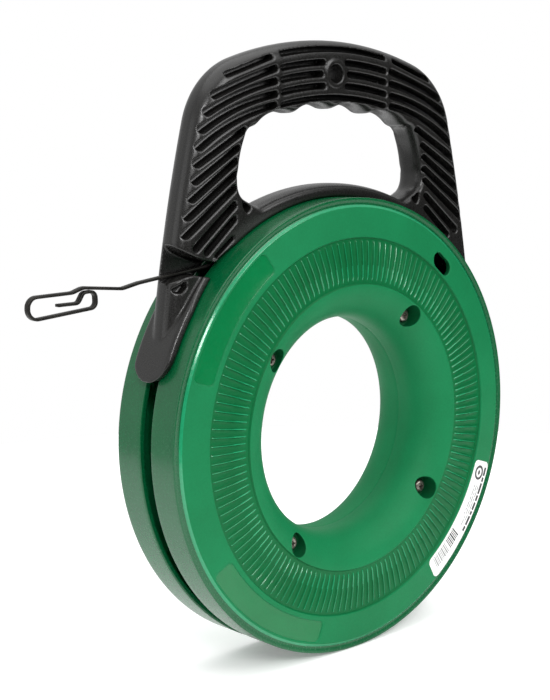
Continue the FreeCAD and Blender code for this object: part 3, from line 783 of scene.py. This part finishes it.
# a heavy rule beside the outer edge, made of short dashes
x = 3.2
for wide in (5.0, 2.6, 6.4, 3.4, 4.6, 2.2, 5.6, 3.0):
    dark.append(mark(116.4, 118.4, x, x + wide, INK))
    x += wide + 0.9
# three fine grey rules
for k, (r, end) in enumerate(((114.5, 38.0), (112.6, 41.0), (110.7, 34.0))):
    x = 15.0
    while x < end:
        wide = (2.4, 3.6, 1.6, 4.2)[k % 4]
        mid.append(mark(r, r + 0.75, x, min(x + wide, end), GREYINK))
        x += wide + 0.8
        k += 1
# bar pattern at the lower end
for start, widths, heap in ((46.0, (0.9, 0.5, 0.6, 1.1, 0.5, 0.8, 0.5, 0.6), dark),
                            (57.4, (0.5, 0.9, 0.4, 1.0, 0.5, 0.4, 0.9), mid),
                            (66.2, (0.6, 0.4, 0.9, 0.5), mid)):
    x = start
    for wide in widths:
        heap.append(mark(106.8, 115.0, x, x + wide, INK))
        x += wide + 0.55
join("label_print_dark", dark, INK)
join("label_print_grey", mid, GREYINK)


# ------------------------------------------------------------------ pieces kept from the CAD

def finish_node(node, material):
    ob = NODES[node]
    ob.data.materials.clear()
    ob.data.materials.append(material)


for k in range(1, 5):
    finish_node("case_screw_%d" % k, SCREW)
    finish_node("case_nut_%d" % k, NUT)
finish_node("tape_coil", TAPE)


# ------------------------------------------------------------------ stage, light, camera

FLOOR_R, FLOOR_Z, FLOOR_SIDES = 0.6, -0.1253, 96


def floor_disc():
    """Round pale floor, a little larger than the object's shadow."""
    verts = []
    for k in range(FLOOR_SIDES):
        a = TAU * k / FLOOR_SIDES
        verts.append((FLOOR_R * math.cos(a), FLOOR_R * math.sin(a), FLOOR_Z))
    me = bpy.data.meshes.new("floor")
    me.from_pydata(verts, [], [tuple(range(FLOOR_SIDES))])
    ob = bpy.data.objects.new("floor", me)
    bpy.context.scene.collection.objects.link(ob)
    m, t, sh, co = new_material("floor_paint")
    cloud = noise(t, co, 3.0, 2.0, 0.4)
    col = ramp(t, cloud.outputs["Fac"], 0.3, (0.9207,) * 3, 0.7, (0.93,) * 3)
    t.links.new(col.outputs["Color"], sh.inputs["Base Color"])
    sh.inputs["Roughness"].default_value = 0.8
    sh.inputs["Specular IOR Level"].default_value = 0.2
    sh.inputs["Emission Color"].default_value = (1.0, 1.0, 1.0, 1.0)
    sh.inputs["Emission Strength"].default_value = 0.2
    me.materials.append(m)


floor_disc()

world = bpy.data.worlds.new("studio")
bpy.context.scene.world = world
world.use_nodes = True
wt = world.node_tree
bg = wt.nodes["Background"]
bg.inputs["Color"].default_value = (1.0, 1.0, 1.0, 1.0)
# what lights the object is dark in front and white above and behind; the camera sees plain white
way = wt.nodes.new("ShaderNodeTexCoord")
dot = wt.nodes.new("ShaderNodeVectorMath")
dot.operation = "DOT_PRODUCT"
dot.inputs[1].default_value = (-0.20, 0.60, 1.00)
wt.links.new(way.outputs["Generated"], dot.inputs[0])
fade = spread(wt, dot.outputs["Value"], 0.06, 0.8, -0.1, 0.6)
wt.links.new(fade.outputs["Result"], bg.inputs["Strength"])
plain = wt.nodes.new("ShaderNodeBackground")
plain.inputs["Color"].default_value = (1.0, 1.0, 1.0, 1.0)
plain.inputs["Strength"].default_value = 1.0
mix = wt.nodes.new("ShaderNodeMixShader")
path = wt.nodes.new("ShaderNodeLightPath")
wt.links.new(path.outputs["Is Camera Ray"], mix.inputs[0])
wt.links.new(bg.outputs[0], mix.inputs[1])
wt.links.new(plain.outputs[0], mix.inputs[2])
wt.links.new(mix.outputs[0], wt.nodes["World Output"].inputs["Surface"])
bpy.context.scene.view_settings.view_transform = "Standard"


def softbox(name, where, look, wide, tall, power):
    d = bpy.data.lights.new(name, "AREA")
    d.shape = "RECTANGLE"
    d.size, d.size_y = wide, tall
    d.energy = power
    ob = bpy.data.objects.new(name, d)
    ob.location = where
    ob.rotation_mode = "QUATERNION"
    ob.rotation_quaternion = (Vector(look) - Vector(where)).to_track_quat("-Z", "Y")
    bpy.context.scene.collection.objects.link(ob)


softbox("key", (0.45, -1.53, 0.99), (0, 0, 0.03), 1.0, 1.0, 18.6)
softbox("side", (-1.6, 0.15, 0.15), (0, 0, 0.03), 0.9, 1.4, 4.0)
softbox("kicker", (-0.78, -1.03, 0.74), (0, 0, 0.03), 0.34, 0.34, 8.0)
sky = bpy.data.lights.new("sky", "SUN")
sky.energy = 1.4
sky.angle = math.radians(70)
sky_ob = bpy.data.objects.new("sky", sky)
bpy.context.scene.collection.objects.link(sky_ob)

cam_data = bpy.data.cameras.new("camera")
cam = bpy.data.objects.new("camera", cam_data)
bpy.context.scene.collection.objects.link(cam)
cam_data.sensor_width = 36.0
cam_data.lens = 73.84
cam_data.clip_start, cam_data.clip_end = 0.01, 20.0
pos = Vector((-0.54575, -0.56749, 0.15736))
aim = Vector((-0.03595, 0.0012, 0.04403))
back = (pos - aim).normalized()
right = Vector((0, 0, 1)).cross(back).normalized()
up = back.cross(right)
roll = math.radians(-0.518)
r2 = right * math.cos(roll) + up * math.sin(roll)
u2 = up * math.cos(roll) - right * math.sin(roll)
basis = Matrix((r2, u2, back)).transposed().to_4x4()
cam.matrix_world = Matrix.Translation(pos) @ basis
bpy.context.scene.camera = cam
